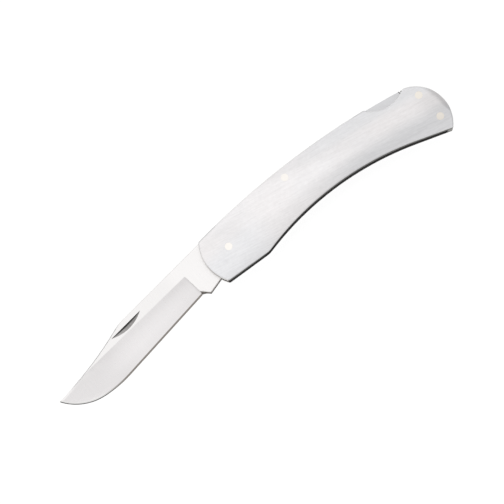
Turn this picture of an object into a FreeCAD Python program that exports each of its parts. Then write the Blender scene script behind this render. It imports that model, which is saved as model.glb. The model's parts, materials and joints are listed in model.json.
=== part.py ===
import FreeCAD, Part
import os
import re
from math import sqrt
from types import SimpleNamespace

import Sketcher
from FreeCAD import Placement, Rotation, Vector

# Lockback folding knife, opened flat and lying on its rear scale.
# Working frame: X from the pivot to the butt, Y from the pivot to the spine, Z across the handle,
# with Z = 0 on the middle of the blade. The finished pieces are set down together at the end.

SIZES = (
    # pins and running fits
    ("pin_diameter", 2.8, "all four handle pins"),
    ("pin_fit", 0.01, "radial, pin in scale, spacer and washer"),
    ("pin_clearance", 0.04, "radial, pin in blade and lock bar"),
    ("lock_pin_x", 32.0, "pivot to lock bar pin"),
    ("lock_pin_depth", 3.66, "lock bar pin below the spine"),
    ("butt_pin_inset", 5.55, "butt pins ahead of the butt"),
    ("upper_pin_depth", 5.07, "upper butt pin below the spine arc"),
    ("lower_pin_depth", 15.44, "lower butt pin below the spine arc"),
    # layers across the handle
    ("blade_thickness", 2.5, "stock at the tang"),
    ("washer_thickness", 0.15, "pivot washer"),
    ("washer_diameter", 7.0, "pivot washer"),
    ("side_gap", 0.04, "running gap beside blade and lock bar"),
    ("scale_thickness", 3.65, "scale at its flat land"),
    # handle outline
    ("spine_top", 8.95, "highest point of the spine above the pivot"),
    ("spine_apex", -2.0, "where that point lies along X"),
    ("spine_radius", 300.0, "arched spine"),
    ("front_top", 6.6, "top front corner ahead of the pivot"),
    ("front_low", 8.6, "low front corner ahead of the pivot"),
    ("front_low_below", 8.76, "low front corner below the pivot"),
    ("front_radius", 15.0, "convex front end"),
    ("front_corner_radius", 1.2, "rounding of the low front corner"),
    ("front_top_radius", 0.7, "rounding of the top front corner"),
    ("knee_x", 9.2, "knee of the lower edge behind the pivot"),
    ("knee_radius", 8.0, "rounding of the knee"),
    ("grip_crest_x", 26.3, "crest of the hollow lower edge"),
    ("grip_crest_below", 10.33, "that crest below the pivot"),
    ("grip_straight", 14.3, "straight stretch between that hollow and the low butt corner"),
    ("butt_end", 93.0, "pivot to the rear end of the butt"),
    ("butt_radius", 13.6, "round butt"),
    ("butt_corner_inset", 5.1, "low butt corner ahead of the butt"),
    ("butt_corner_radius", 0.8, "rounding of that corner"),
    # crowned outer faces
    ("crown_radius", 40.0, "fall of the face beside its flat land"),
    ("land_top_depth", 4.5, "top of the flat land below the spine arc"),
    ("land_low_depth", 11.5, "bottom of the flat land below the spine arc"),
    ("crown_reach", 25.0, "width that the crowning covers"),
    ("edge_radius", 0.5, "broken outer edges"),
    ("roll_width", 2.3, "rolled rim of the butt at its widest"),
    ("roll_radius", 3.6, "fall of that rim"),
    ("roll_sweep", 30.0, "inner edge of the roll, an arc flatter than the butt"),
    ("roll_turn", 150.0, "how far round that arc the roll is ground, degrees"),
    # thumb scallop
    ("scallop_radius", 12.0, "scoop for the thumb"),
    ("scallop_inset", 13.35, "its centre ahead of the butt"),
    ("scallop_depth", 2.95, "deepest point below the spine"),
    ("scallop_corner_radius", 0.9, "rounding where the scoop meets the spine"),
    # blade
    ("blade_reach", 82.7, "pivot to tip"),
    ("tip_above", 4.05, "tip above the pivot"),
    ("clip_length", 34.9, "clip, tip to spine"),
    ("clip_radius", 138.0, "hollow clip"),
    ("clip_knee_radius", 12.0, "rounding where the clip begins"),
    ("belly_length", 25.2, "curved part of the edge, along X"),
    ("belly_below", 7.14, "start of the belly below the pivot"),
    ("belly_radius", 45.0, "belly next to the straight edge"),
    ("point_radius", 19.5, "belly next to the tip"),
    ("ricasso_length", 18.8, "pivot to plunge line"),
    ("heel_x", 18.95, "heel of the edge ahead of the pivot"),
    ("heel_below", 5.25, "heel of the edge below the pivot"),
    ("choil_radius", 4.5, "round choil"),
    ("choil_rise", 0.2, "end of the choil above the heel"),
    ("choil_top", 3.7, "top of the choil's slope below the pivot, at the plunge"),
    ("choil_start", 0.15, "front of the slope behind the plunge"),
    ("choil_lip", 0.4, "slope above the kick corner"),
    ("choil_fall", 0.57, "depth of the slope per length"),
    ("kick_x", 16.3, "kick corner ahead of the pivot"),
    ("kick_below", 7.1, "kick corner below the pivot"),
    ("grind_above", 4.0, "grind line above the pivot, at the plunge"),
    ("grind_end", 7.1, "grind line runs out this far from the tip"),
    ("grind_hollow", 0.55, "hollow of the grind, 0 flat to 1 full"),
    ("grind_overrun", 0.4, "grinding passes this far beyond the outline"),
    ("edge_thickness", 0.5, "behind the edge bevel"),
    ("bevel_width", 0.55, "edge bevel"),
    ("bevel_flat", 0.06, "thickness left at the edge"),
    ("blade_edge_radius", 0.2, "broken edges of the blade's back"),
    ("nick_from_tip", 36.6, "middle of the nail nick"),
    ("nick_length", 14.6, "nail nick"),
    ("nick_height", 1.85, "nail nick"),
    ("nick_depth", 0.6, "nail nick"),
    ("nick_below_spine", 2.15, "upper edge of the nick"),
    # tang and lock
    ("tang_radius", 5.1, "round tang that the lug rides on"),
    ("lock_depth", 0.75, "notch below the round tang"),
    ("lug_length", 3.0, "lug of the lock bar along X"),
    ("lug_gap", 0.15, "lug clear of the round tang"),
    ("lug_side_gap", 0.25, "lug clear of the notch walls"),
    ("recess_angle", 34.0, "closed-position recess begins, degrees below +X"),
    ("arm_gap", 1.1, "front arm clear of the round tang"),
    ("rear_arm_depth", 3.2, "lock bar behind its pin"),
    ("tail_depth", 4.2, "lock bar at its tail"),
    ("tail_length", 14.0, "where the tail deepens"),
    ("boss_wall", 0.95, "steel round the lock bar bore"),
    ("boss_reach", 6.0, "foot of the boss either side of the pin"),
    ("tail_gap", 0.6, "lock bar to butt spacer"),
    # butt spacer and leaf spring
    ("spacer_depth", 8.6, "front of the spacer ahead of the butt"),
    ("leaf_thickness", 0.8, "leaf spring"),
    ("leaf_reach", 22.4, "leaf ahead of the spacer"),
    ("leaf_gap", 0.15, "leaf below the lock bar"),
    ("leaf_root_depth", 8.0, "leaf below the spine at the spacer"),
    ("leaf_seat", 3.0, "leaf inside the spacer"),
    ("leaf_slot_gap", 0.15, "spacer slot round the leaf"),
)

doc = FreeCAD.newDocument("folding_knife")
sheet = doc.addObject("Spreadsheet::Sheet", "Sizes")
for row, (alias, size, note) in enumerate(SIZES, start=1):
    sheet.set(f"A{row}", str(size))
    sheet.setAlias(f"A{row}", alias)
    sheet.set(f"B{row}", note)
doc.recompute()
ALIASES = {alias for alias, _, _ in SIZES}
s = SimpleNamespace(**{alias: float(sheet.get(alias)) for alias in ALIASES})


def bind(text):
    """The same formula with every size read from the sheet."""
    return re.sub(r"[a-z_]+", lambda word: f"Sizes.{word[0]}" if word[0] in ALIASES else word[0], text)


def number(text):
    return float(sheet.evalExpression(bind(text)))


# Formulas that several pieces share.
PIN = "pin_diameter / 2"
FIXED_BORE = "pin_diameter / 2 + pin_fit"
RUNNING_BORE = "pin_diameter / 2 + pin_clearance"
SLOT = "(blade_thickness + 2 * washer_thickness + 2 * side_gap)"
LOCK_WIDTH = f"({SLOT} - 2 * side_gap)"
SPINE_Y = "(spine_top - spine_radius)"
NOTCH_FLOOR = "(tang_radius - lock_depth)"
SPACER_FRONT = "(butt_end - spacer_depth)"
TAIL_X = f"({SPACER_FRONT} - tail_gap)"
LEAF_TIP_X = f"({SPACER_FRONT} - leaf_reach)"
LEAF_ROOT_X = f"({SPACER_FRONT} + leaf_seat)"


def below_spine(x, depth="0"):
    """Height of a curve that lies a fixed depth inside the spine arc."""
    return f"({SPINE_Y} + sqrt((spine_radius - ({depth})) ^ 2 - ({x} - spine_apex) ^ 2))"


BUTT_PIN_X = "(butt_end - butt_pin_inset)"
PINS = {
    "pivot_pin": ("0", "0"),
    "lock_bar_pin": ("lock_pin_x", below_spine("lock_pin_x", "lock_pin_depth")),
    "spacer_pin_upper": (BUTT_PIN_X, below_spine(BUTT_PIN_X, "upper_pin_depth")),
    "spacer_pin_lower": (BUTT_PIN_X, below_spine(BUTT_PIN_X, "lower_pin_depth")),
}


def origin_plane(body, role):
    return next(f for f in body.Origin.OriginFeatures if f.Role == role)


def new_body(label):
    body = doc.addObject("PartDesign::Body", label)
    body.Label = label
    return body


def new_sketch(body, name, plane="XY_Plane", lift="0"):
    sketch = body.newObject("Sketcher::SketchObject", name)
    sketch.AttachmentSupport = [(origin_plane(body, plane), "")]
    sketch.MapMode = "FlatFace"
    sketch.setExpression(".AttachmentOffset.Base.z", bind(lift))
    return sketch


def tie(sketch, kind, places, text):
    """A dimension that follows a formula of the sheet."""
    index = sketch.addConstraint(Sketcher.Constraint(kind, *places, number(text)))
    sketch.setExpression(f"Constraints[{index}]", bind(text))


def tie_point(sketch, side, end, x, y):
    for kind, text in (("DistanceX", x), ("DistanceY", y)):
        if isinstance(text, str):
            tie(sketch, kind, (-1, 1, side, end), text)


def arc_middle(start, end, radius, turn):
    """Middle of the shorter arc; turn is +1 when it bulges to the left of its chord, -1 to the right."""
    chord = end - start
    half = chord.Length / 2
    rise = radius - sqrt(radius * radius - half * half)
    left = Vector(-chord.y, chord.x, 0) / chord.Length
    return (start + end) / 2 + left * (turn * rise)


def arc_centre(start, end, radius):
    """Centre of the shorter arc, to the left of its chord."""
    chord = end - start
    left = Vector(-chord.y, chord.x, 0) / chord.Length
    return (start + end) / 2 + left * sqrt(radius ** 2 - chord.Length ** 2 / 4)


def near(a, b):
    return a.distanceToPoint(b) < 1e-5


def point(place):
    return Vector(number(place[0]), number(place[1]), 0)


def add_outline(sketch, corners):
    """Closed chain of (x, y, bend) corners. A formula ties a coordinate, a plain number is left to the
    tangents. bend shapes the side to the next corner: None, or radius, turn, centre and smooth ends."""
    points = [Vector(*(number(v) if isinstance(v, str) else v for v in corner[:2]), 0) for corner in corners]
    first = sketch.GeometryCount
    starts = []
    for i, (_, _, bend) in enumerate(corners):
        start, end = points[i], points[(i + 1) % len(points)]
        if bend:
            middle = arc_middle(start, end, number(bend["radius"]), bend["turn"])
            side = sketch.addGeometry(Part.Arc(start, middle, end), False)
        else:
            side = sketch.addGeometry(Part.LineSegment(start, end), False)
        starts.append(1 if near(sketch.getPoint(side, 1), start) else 2)
    for i, (x, y, bend) in enumerate(corners):
        side, before = first + i, first + (i - 1) % len(corners)
        joint = (before, 3 - starts[i - 1], side, starts[i])
        smooth = (bend or {}).get("smooth_start") or (corners[i - 1][2] or {}).get("smooth_end")
        sketch.addConstraint(Sketcher.Constraint("Tangent" if smooth else "Coincident", *joint))
        tie_point(sketch, side, starts[i], x, y)
        if bend:
            tie(sketch, "Radius", (side,), bend["radius"])
            tie_point(sketch, side, 3, *bend.get("centre", (None, None)))


def add_circle(sketch, x, y, radius):
    circle = Part.Circle(Vector(number(x), number(y), 0), Vector(0, 0, 1), number(radius))
    side = sketch.addGeometry(circle, False)
    tie(sketch, "Radius", (side,), radius)
    tie_point(sketch, side, 3, x, y)


def add_axis(sketch, start, end):
    """Construction line that a turned cut swings about."""
    line = Part.LineSegment(*(Vector(number(x), number(y), 0) for x, y in (start, end)))
    axis = sketch.addGeometry(line, True)
    tie_point(sketch, axis, 1, *start)
    tie_point(sketch, axis, 2, *end)


def pad(body, sketch, length, both_ways=False, down=False):
    feature = body.newObject("PartDesign::Pad", f"{sketch.Name}_pad")
    feature.Profile = sketch
    feature.SideType = "Symmetric" if both_ways else "One side"
    feature.Reversed = down
    feature.setExpression("Length", bind(length))
    sketch.Visibility = False


def cut_through(body, sketch):
    """Removes the outline right across the handle."""
    feature = body.newObject("PartDesign::Pocket", f"{sketch.Name}_cut")
    feature.Profile = sketch
    feature.SideType = "Symmetric"
    feature.setExpression("Length", bind(f"4 * scale_thickness + {SLOT}"))


def turned_cut(body, sketch, turn="360"):
    """Removes the profile swung about the first construction line of its sketch, as far to either side."""
    feature = body.newObject("PartDesign::Groove", f"{sketch.Name}_groove")
    feature.Profile = sketch
    feature.ReferenceAxis = (sketch, ["Axis0"])
    feature.Midplane = True
    feature.setExpression("Angle", bind(turn))


def round_edges(body, name, radius, chosen):
    """Rounds the edges of the body's latest feature that the test chooses."""
    doc.recompute()
    base = body.Tip
    names = [f"Edge{i}" for i, edge in enumerate(base.Shape.Edges, start=1) if chosen(edge)]
    feature = body.newObject("PartDesign::Fillet", name)
    feature.Base = (base, names)
    feature.setExpression("Radius", bind(radius))


def samples(edge):
    return [edge.valueAt(edge.FirstParameter + share * (edge.LastParameter - edge.FirstParameter))
            for share in (0, 0.25, 0.5, 0.75, 1)]


def upright_at(x, y):
    """Test for the vertical edge that stands over a corner of the outline."""
    corner = Vector(number(x) if isinstance(x, str) else x, number(y) if isinstance(y, str) else y, 0)
    return lambda edge: all(near(Vector(p.x, p.y, 0), corner) for p in samples(edge))


def upright_on(centre, radius):
    """Test for the vertical edges that stand on a circle of the outline."""
    def chosen(edge):
        flat = [Vector(p.x, p.y, 0) for p in samples(edge)]
        on_circle = all(abs(p.distanceToPoint(centre) - radius) < 1e-5 for p in flat)
        return on_circle and all(near(p, flat[0]) for p in flat)
    return chosen


# Corners of the handle outline, shared by the scales and the butt spacer.
BUTT_X = "(butt_end - butt_radius)"
BUTT_Y = f"({SPINE_Y} + sqrt((spine_radius - butt_radius) ^ 2 - ({BUTT_X} - spine_apex) ^ 2))"
BUTT_CORNER_X = "(butt_end - butt_corner_inset)"
BUTT_CORNER_Y = f"({BUTT_Y} - sqrt(butt_radius ^ 2 - ({BUTT_CORNER_X} - {BUTT_X}) ^ 2))"
GRIP_RUN = f"({BUTT_CORNER_X} - grip_crest_x)"
GRIP_DROP = f"(-grip_crest_below - {BUTT_CORNER_Y})"
GRIP_RADIUS = f"(({GRIP_RUN} ^ 2 + {GRIP_DROP} ^ 2 - grip_straight ^ 2) / (2 * {GRIP_DROP}))"
GRIP_Y = f"(-grip_crest_below - {GRIP_RADIUS})"
KNEE_Y = f"({GRIP_Y} + sqrt({GRIP_RADIUS} ^ 2 - (knee_x - grip_crest_x) ^ 2))"


def tangent_point(outside, centre, radius, turn):
    """Where a straight line from an outside point touches a circle, on the left (+1) or right (-1)."""
    away = outside - centre
    span = away.Length
    share = radius / span
    left = Vector(-away.y, away.x, 0)
    return centre + away * share ** 2 + left * (turn * share * sqrt(1 - share ** 2))


def handle_outline(sketch):
    spine_centre = Vector(s.spine_apex, number(SPINE_Y), 0)
    butt_centre = Vector(number(BUTT_X), number(BUTT_Y), 0)
    share = s.spine_radius / (s.spine_radius - s.butt_radius)
    shoulder = spine_centre + (butt_centre - spine_centre) * share
    butt_corner = Vector(number(BUTT_CORNER_X), number(BUTT_CORNER_Y), 0)
    grip_centre = Vector(s.grip_crest_x, number(GRIP_Y), 0)
    grip_start = tangent_point(butt_corner, grip_centre, number(GRIP_RADIUS), 1)
    spine = {"radius": "spine_radius", "turn": 1, "centre": ("spine_apex", SPINE_Y), "smooth_end": True}
    butt = {"radius": "butt_radius", "turn": 1, "centre": (BUTT_X, None)}
    grip = {"radius": GRIP_RADIUS, "turn": -1, "centre": ("grip_crest_x", GRIP_Y), "smooth_start": True}
    front = {"radius": "front_radius", "turn": 1}
    front_top_y = number(below_spine("-front_top"))
    add_outline(sketch, [
        ("-front_top", front_top_y, spine),
        (shoulder.x, shoulder.y, butt),
        (BUTT_CORNER_X, butt_corner.y, None),
        (grip_start.x, grip_start.y, grip),
        ("knee_x", number(KNEE_Y), None),
        ("-front_low", "-front_low_below", front),
    ])


def crown_profile(body, name, side):
    """Section of the metal ground off one outer face: flat land in the middle, falling to both edges."""
    sketch = new_sketch(body, name, "YZ_Plane", "spine_apex")
    land = f"({SLOT} / 2 + scale_thickness)"
    top, low = "(spine_top - land_top_depth)", "(spine_top - land_low_depth)"
    above, beyond = "(spine_top + scale_thickness)", "(spine_top - crown_reach)"
    cap = f"({land} + scale_thickness)"
    fall = "sqrt(crown_radius ^ 2 - ({0} - {1}) ^ 2)"
    above_z = f"({land} - crown_radius + {fall.format(above, top)})"
    beyond_z = f"({land} - crown_radius + {fall.format(beyond, low)})"
    sign = "" if side > 0 else "-"
    fall_curve = {"radius": "crown_radius", "turn": -side}
    add_outline(sketch, [
        (above, f"{sign}{cap}", None),
        (above, f"{sign}{above_z}", fall_curve),
        (top, f"{sign}{land}", None),
        (low, f"{sign}{land}", fall_curve),
        (beyond, f"{sign}{beyond_z}", None),
        (beyond, f"{sign}{cap}", None),
    ])
    add_axis(sketch, (SPINE_Y, "0"), (SPINE_Y, "scale_thickness"))
    return sketch


def is_wall(face, point, bore):
    """True for an upright outer wall, and not for the wall of a pin bore."""
    u, v = face.Surface.parameter(point)
    upright = abs(face.normalAt(u, v).z) < 0.01
    drilled = hasattr(face.Surface, "Radius") and abs(face.Surface.Radius - bore) < 1e-6
    return upright and not drilled


def perimeter_test(shape, bore, inner):
    """Test for the edges where a crowned face meets the upright walls round it."""
    def chosen(edge):
        points = samples(edge)
        if min(abs(p.z) for p in points) < inner + 1e-3:
            return False
        walls = [is_wall(face, points[2], bore) for face in shape.ancestorsOfType(edge, Part.Face)]
        return walls.count(True) == 1
    return chosen


def butt_roll(body, name, side):
    """Section of the metal rolled off the butt rim, swung about an axis well ahead of the butt."""
    sketch = new_sketch(body, name, "XZ_Plane", f"-{BUTT_Y}")
    land = f"({SLOT} / 2 + scale_thickness)"
    axis_x = "(butt_end - roll_width - roll_sweep)"
    start, rim = "(butt_end - roll_width)", "(butt_end + roll_width / 4)"
    rim_z = f"({land} - roll_radius + sqrt(roll_radius ^ 2 - ({rim} - {start}) ^ 2))"
    sign = "" if side > 0 else "-"
    add_outline(sketch, [
        (start, f"{sign}{land}", {"radius": "roll_radius", "turn": side}),
        (rim, f"{sign}{rim_z}", None),
        (rim, f"{sign}({land} + scale_thickness)", None),
        (start, f"{sign}({land} + scale_thickness)", None),
    ])
    add_axis(sketch, (axis_x, "0"), (axis_x, "scale_thickness"))
    return sketch


def make_scale(label, side):
    """One handle side: side is +1 for the front scale and -1 for the rear scale."""
    body = new_body(label)
    sign = "" if side > 0 else "-"
    sketch = new_sketch(body, f"{label}_outline", lift=f"{sign}{SLOT} / 2")
    handle_outline(sketch)
    for x, y in PINS.values():
        add_circle(sketch, x, y, FIXED_BORE)
    pad(body, sketch, "scale_thickness + edge_radius", down=side < 0)
    round_edges(body, f"{label}_knee", "knee_radius", upright_at("knee_x", KNEE_Y))
    round_edges(body, f"{label}_front", "front_corner_radius", upright_at("-front_low", "-front_low_below"))
    round_edges(body, f"{label}_butt", "butt_corner_radius", upright_at(BUTT_CORNER_X, BUTT_CORNER_Y))
    round_edges(body, f"{label}_top", "front_top_radius", upright_at("-front_top", below_spine("-front_top")))
    turned_cut(body, crown_profile(body, f"{label}_crown", side))
    scallop = new_sketch(body, f"{label}_scallop")
    scallop_x = "(butt_end - scallop_inset)"
    scallop_y = f"({below_spine(scallop_x)} - scallop_depth + scallop_radius)"
    add_circle(scallop, scallop_x, scallop_y, "scallop_radius")
    cut_through(body, scallop)
    centre = point((scallop_x, scallop_y))
    round_edges(body, f"{label}_scallop_ends", "scallop_corner_radius", upright_on(centre, s.scallop_radius))
    doc.recompute()
    edges = perimeter_test(body.Tip.Shape, number(FIXED_BORE), number(f"{SLOT} / 2"))
    round_edges(body, f"{label}_edges", "edge_radius", edges)
    turned_cut(body, butt_roll(body, f"{label}_roll", side), "roll_turn")
    return body


def make_pin(label, x, y):
    """A pin peened and ground flush with both crowned faces."""
    body = new_body(label)
    sketch = new_sketch(body, f"{label}_section")
    add_circle(sketch, x, y, PIN)
    pad(body, sketch, f"{SLOT} + 2 * (scale_thickness + edge_radius)", both_ways=True)
    for name, side in (("front", 1), ("rear", -1)):
        turned_cut(body, crown_profile(body, f"{label}_{name}", side))
    return body


def make_washer(label, side):
    body = new_body(label)
    sign = "" if side > 0 else "-"
    sketch = new_sketch(body, f"{label}_ring", lift=f"{sign}({SLOT} / 2 - washer_thickness)")
    add_circle(sketch, "0", "0", "washer_diameter / 2")
    add_circle(sketch, "0", "0", FIXED_BORE)
    pad(body, sketch, "washer_thickness", down=side < 0)
    return body


LEAF_TIP_Y = f"({below_spine(LEAF_TIP_X, 'rear_arm_depth')} - leaf_gap)"
LEAF_MOUTH_Y = f"({below_spine(SPACER_FRONT)} - leaf_root_depth)"
LEAF_SLOPE = f"(({LEAF_MOUTH_Y} - {LEAF_TIP_Y}) / leaf_reach)"
LEAF_STRETCH = f"sqrt(1 + {LEAF_SLOPE} ^ 2)"


def leaf_strip(sketch, start, end, above, below):
    """Slanting strip along the leaf, from one X to another, with room above its top and below its foot."""
    top = f"({LEAF_TIP_Y} + {LEAF_SLOPE} * ({{0}} - {LEAF_TIP_X}) + {above} * {LEAF_STRETCH})"
    foot = f"({LEAF_TIP_Y} + {LEAF_SLOPE} * ({{0}} - {LEAF_TIP_X}) - ({below}) * {LEAF_STRETCH})"
    add_outline(sketch, [
        (start, top.format(start), None),
        (end, top.format(end), None),
        (end, foot.format(end), None),
        (start, foot.format(start), None),
    ])


def make_leaf():
    body = new_body("leaf_spring")
    sketch = new_sketch(body, "leaf_side")
    leaf_strip(sketch, LEAF_TIP_X, LEAF_ROOT_X, "0", "leaf_thickness")
    pad(body, sketch, LOCK_WIDTH, both_ways=True)
    return body


def make_spacer():
    """Block between the scales at the butt, slotted for the leaf spring."""
    body = new_body("butt_spacer")
    sketch = new_sketch(body, "spacer_outline")
    handle_outline(sketch)
    for name in ("spacer_pin_upper", "spacer_pin_lower"):
        add_circle(sketch, *PINS[name], FIXED_BORE)
    pad(body, sketch, SLOT, both_ways=True)
    round_edges(body, "spacer_butt", "butt_corner_radius", upright_at(BUTT_CORNER_X, BUTT_CORNER_Y))
    slot = new_sketch(body, "spacer_slot")
    ahead, high, low = "-butt_end", "butt_end", "-butt_end"
    add_outline(slot, [
        (ahead, high, None),
        (SPACER_FRONT, high, None),
        (SPACER_FRONT, low, None),
        (ahead, low, None),
    ])
    cut_through(body, slot)
    seat = new_sketch(body, "spacer_leaf_seat")
    leaf_strip(seat, f"({SPACER_FRONT} - leaf_seat)", f"({LEAF_ROOT_X} + leaf_slot_gap)",
               "leaf_slot_gap", "leaf_thickness + leaf_slot_gap")
    cut_through(body, seat)
    return body


def make_lock_bar():
    """Rocker along the spine: lug and front arm, boss on its pin, rear arm and thumb tail."""
    body = new_body("lock_bar")
    sketch = new_sketch(body, "lock_bar_side")
    pin_x, pin_y = PINS["lock_bar_pin"]
    boss = f"({RUNNING_BORE} + boss_wall)"
    arm_depth = "(spine_top - tang_radius - arm_gap)"
    taper_x = f"({TAIL_X} - tail_length)"
    foot_rear, foot_front = f"({pin_x} + boss_reach)", f"({pin_x} - boss_reach)"
    lug = "(tang_radius + lug_gap)"
    centre = Vector(number(pin_x), number(pin_y), 0)
    rear = Vector(number(foot_rear), number(below_spine(foot_rear, "rear_arm_depth")), 0)
    front = Vector(number(foot_front), number(below_spine(foot_front, arm_depth)), 0)
    boss_rear = tangent_point(rear, centre, number(boss), -1)
    boss_front = tangent_point(front, centre, number(boss), 1)
    spine_centre = ("spine_apex", SPINE_Y)
    spine = {"radius": "spine_radius", "turn": 1, "centre": spine_centre}
    rear_arm = {"radius": "spine_radius - rear_arm_depth", "turn": -1, "centre": spine_centre}
    front_arm = {"radius": f"spine_radius - {arm_depth}", "turn": -1, "centre": spine_centre}
    round_boss = {"radius": boss, "turn": 1, "centre": (pin_x, pin_y)}
    round_boss.update(smooth_start=True, smooth_end=True)
    lug_end = {"radius": lug, "turn": -1, "centre": ("0", "0")}
    add_outline(sketch, [
        ("-lug_length", number(below_spine("-lug_length")), spine),
        (TAIL_X, number(below_spine(TAIL_X)), None),
        (TAIL_X, f"({below_spine(TAIL_X)} - tail_depth)", None),
        (taper_x, number(below_spine(taper_x, "rear_arm_depth")), rear_arm),
        (foot_rear, rear.y, None),
        (boss_rear.x, boss_rear.y, round_boss),
        (boss_front.x, boss_front.y, None),
        (foot_front, front.y, front_arm),
        ("0", number(below_spine("0", arm_depth)), None),
        ("0", number(lug), lug_end),
        ("-lug_length", sqrt(number(lug) ** 2 - s.lug_length ** 2), None),
    ])
    add_circle(sketch, pin_x, pin_y, RUNNING_BORE)
    pad(body, sketch, LOCK_WIDTH, both_ways=True)
    return body


TIP = ("-blade_reach", "tip_above")
BELLY_START = ("-(blade_reach - belly_length)", "-belly_below")
HEEL = ("-heel_x", "-heel_below")
CLIP_X = "-(blade_reach - clip_length)"


def belly_meeting():
    """Point where the two tangent arcs of the belly meet."""
    heel, start, tip = point(HEEL), point(BELLY_START), point(TIP)
    along = (start - heel).normalize()
    belly_centre = start + Vector(along.y, -along.x, 0) * s.belly_radius
    reach = tip - belly_centre
    gap = s.belly_radius - s.point_radius
    share = (gap ** 2 - s.point_radius ** 2 + reach.Length ** 2) / (2 * reach.Length)
    aside = Vector(reach.y, -reach.x, 0).normalize()
    point_centre = belly_centre + reach * (share / reach.Length) - aside * sqrt(gap ** 2 - share ** 2)
    return belly_centre + (point_centre - belly_centre) * (s.belly_radius / gap)


def is_back_edge(edge):
    """Test for the long edges of the blade's back and clip, on either face."""
    points = samples(edge)
    on_face = all(abs(abs(p.z) - s.blade_thickness / 2) < 1e-6 for p in points)
    ahead = max(p.x for p in points) < 1e-6
    return on_face and ahead and min(p.y for p in points) > s.tip_above - 1e-6 and edge.Length > s.lug_length


def nail_nick(body):
    """Section of the bevelled wheel that cuts the nick: straight steep upper wall, sloping floor."""
    sketch = new_sketch(body, "nail_nick", "YZ_Plane", "-(blade_reach - nick_from_tip)")
    face, upper = "(blade_thickness / 2)", "(spine_top - nick_below_spine)"
    floor = f"({face} - nick_depth)"
    lower = f"({upper} - 2 * nick_height)"
    wheel = "((nick_length ^ 2 / 4 + nick_depth ^ 2) / (2 * nick_depth))"
    axis_z = f"({floor} + {wheel})"
    add_outline(sketch, [
        (upper, floor, None),
        (upper, f"({face} + nick_depth)", None),
        (lower, f"({face} + nick_depth)", None),
    ])
    add_axis(sketch, (lower, axis_z), (upper, axis_z))
    return sketch


def make_blade_blank():
    """Blade and tang before grinding, with the lock notch, the closed-position recess and the nail nick."""
    body = new_body("blade_blank")
    sketch = new_sketch(body, "blade_side")
    notch_front, notch_rear = "-(lug_length + lug_side_gap)", "lug_side_gap"
    recess = ("tang_radius * cos(recess_angle)", f"{NOTCH_FLOOR} * cos(recess_angle)")
    floor = number(NOTCH_FLOOR)
    kick = point(("-kick_x", "-kick_below"))
    tang_end = tangent_point(kick, Vector(0, 0, 0), floor, 1)
    recess_start = number("tang_radius * sin(recess_angle)")
    meeting = belly_meeting()
    pivot = ("0", "0")
    clip = {"radius": "clip_radius", "turn": -1}
    floor_arc = {"radius": NOTCH_FLOOR, "turn": 1, "centre": pivot}
    round_tang = {"radius": "tang_radius", "turn": 1, "centre": pivot}
    recess_arc = {"radius": NOTCH_FLOOR, "turn": 1, "centre": pivot, "smooth_end": True}
    choil = {"radius": "choil_radius", "turn": -1}
    belly = {"radius": "belly_radius", "turn": 1, "smooth_start": True, "smooth_end": True}
    tip_curve = {"radius": "point_radius", "turn": 1}
    add_outline(sketch, [
        (*TIP, clip),
        (CLIP_X, "spine_top", None),
        (notch_front, "spine_top", None),
        (notch_front, sqrt(floor ** 2 - number(notch_front) ** 2), floor_arc),
        (notch_rear, sqrt(floor ** 2 - s.lug_side_gap ** 2), None),
        (notch_rear, sqrt(s.tang_radius ** 2 - s.lug_side_gap ** 2), round_tang),
        (recess[0], -recess_start, None),
        (recess[1], -recess_start * floor / s.tang_radius, recess_arc),
        (tang_end.x, tang_end.y, None),
        ("-kick_x", "-kick_below", choil),
        ("-heel_x", "choil_rise - heel_below", None),
        (*HEEL, None),
        (*BELLY_START, belly),
        (meeting.x, meeting.y, tip_curve),
    ])
    add_circle(sketch, "0", "0", RUNNING_BORE)
    pad(body, sketch, "blade_thickness", both_ways=True)
    round_edges(body, "clip_knee", "clip_knee_radius", upright_at(CLIP_X, "spine_top"))
    round_edges(body, "blade_back", "blade_edge_radius", is_back_edge)
    turned_cut(body, nail_nick(body))
    return body


# How finely the ground surfaces follow the edge. The shares run across the grind, from just above the
# blade's face at the grind line to the edge.
GRIND_STATIONS = 11
BEVEL_STATIONS = 25
GRIND_SHARES = (-0.05, 0.2, 0.45, 0.7, 1)


def edge_stations(count):
    """Points along the cutting edge, heel to tip and a little beyond both, with the outward direction."""
    heel, start, tip = point(HEEL), point(BELLY_START), point(TIP)
    meeting = belly_meeting()
    sides = (
        Part.LineSegment(heel, start),
        Part.Arc(start, arc_middle(start, meeting, s.belly_radius, 1), meeting),
        Part.Arc(meeting, arc_middle(meeting, tip, s.point_radius, 1), tip),
    )
    path = Part.Wire([side.toShape() for side in sides]).discretize(Number=count)
    lead_in = path[0] + (path[0] - path[1]).normalize() * s.grind_overrun
    lead_out = path[-1] + (path[-1] - path[-2]).normalize() * s.grind_overrun
    path = [lead_in, *path, lead_out]
    stations = []
    for i, place in enumerate(path):
        along = (path[min(i + 1, len(path) - 1)] - path[max(i - 1, 0)]).normalize()
        stations.append((place, Vector(-along.y, along.x, 0)))
    return stations


def grinding_tool(rows, side):
    """Solid above a smooth surface through rows of points, reaching past the face of the blade."""
    surface = Part.BSplineSurface()
    surface.interpolate(rows)
    return surface.toShape().extrude(Vector(0, 0, side * s.blade_thickness))


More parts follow.
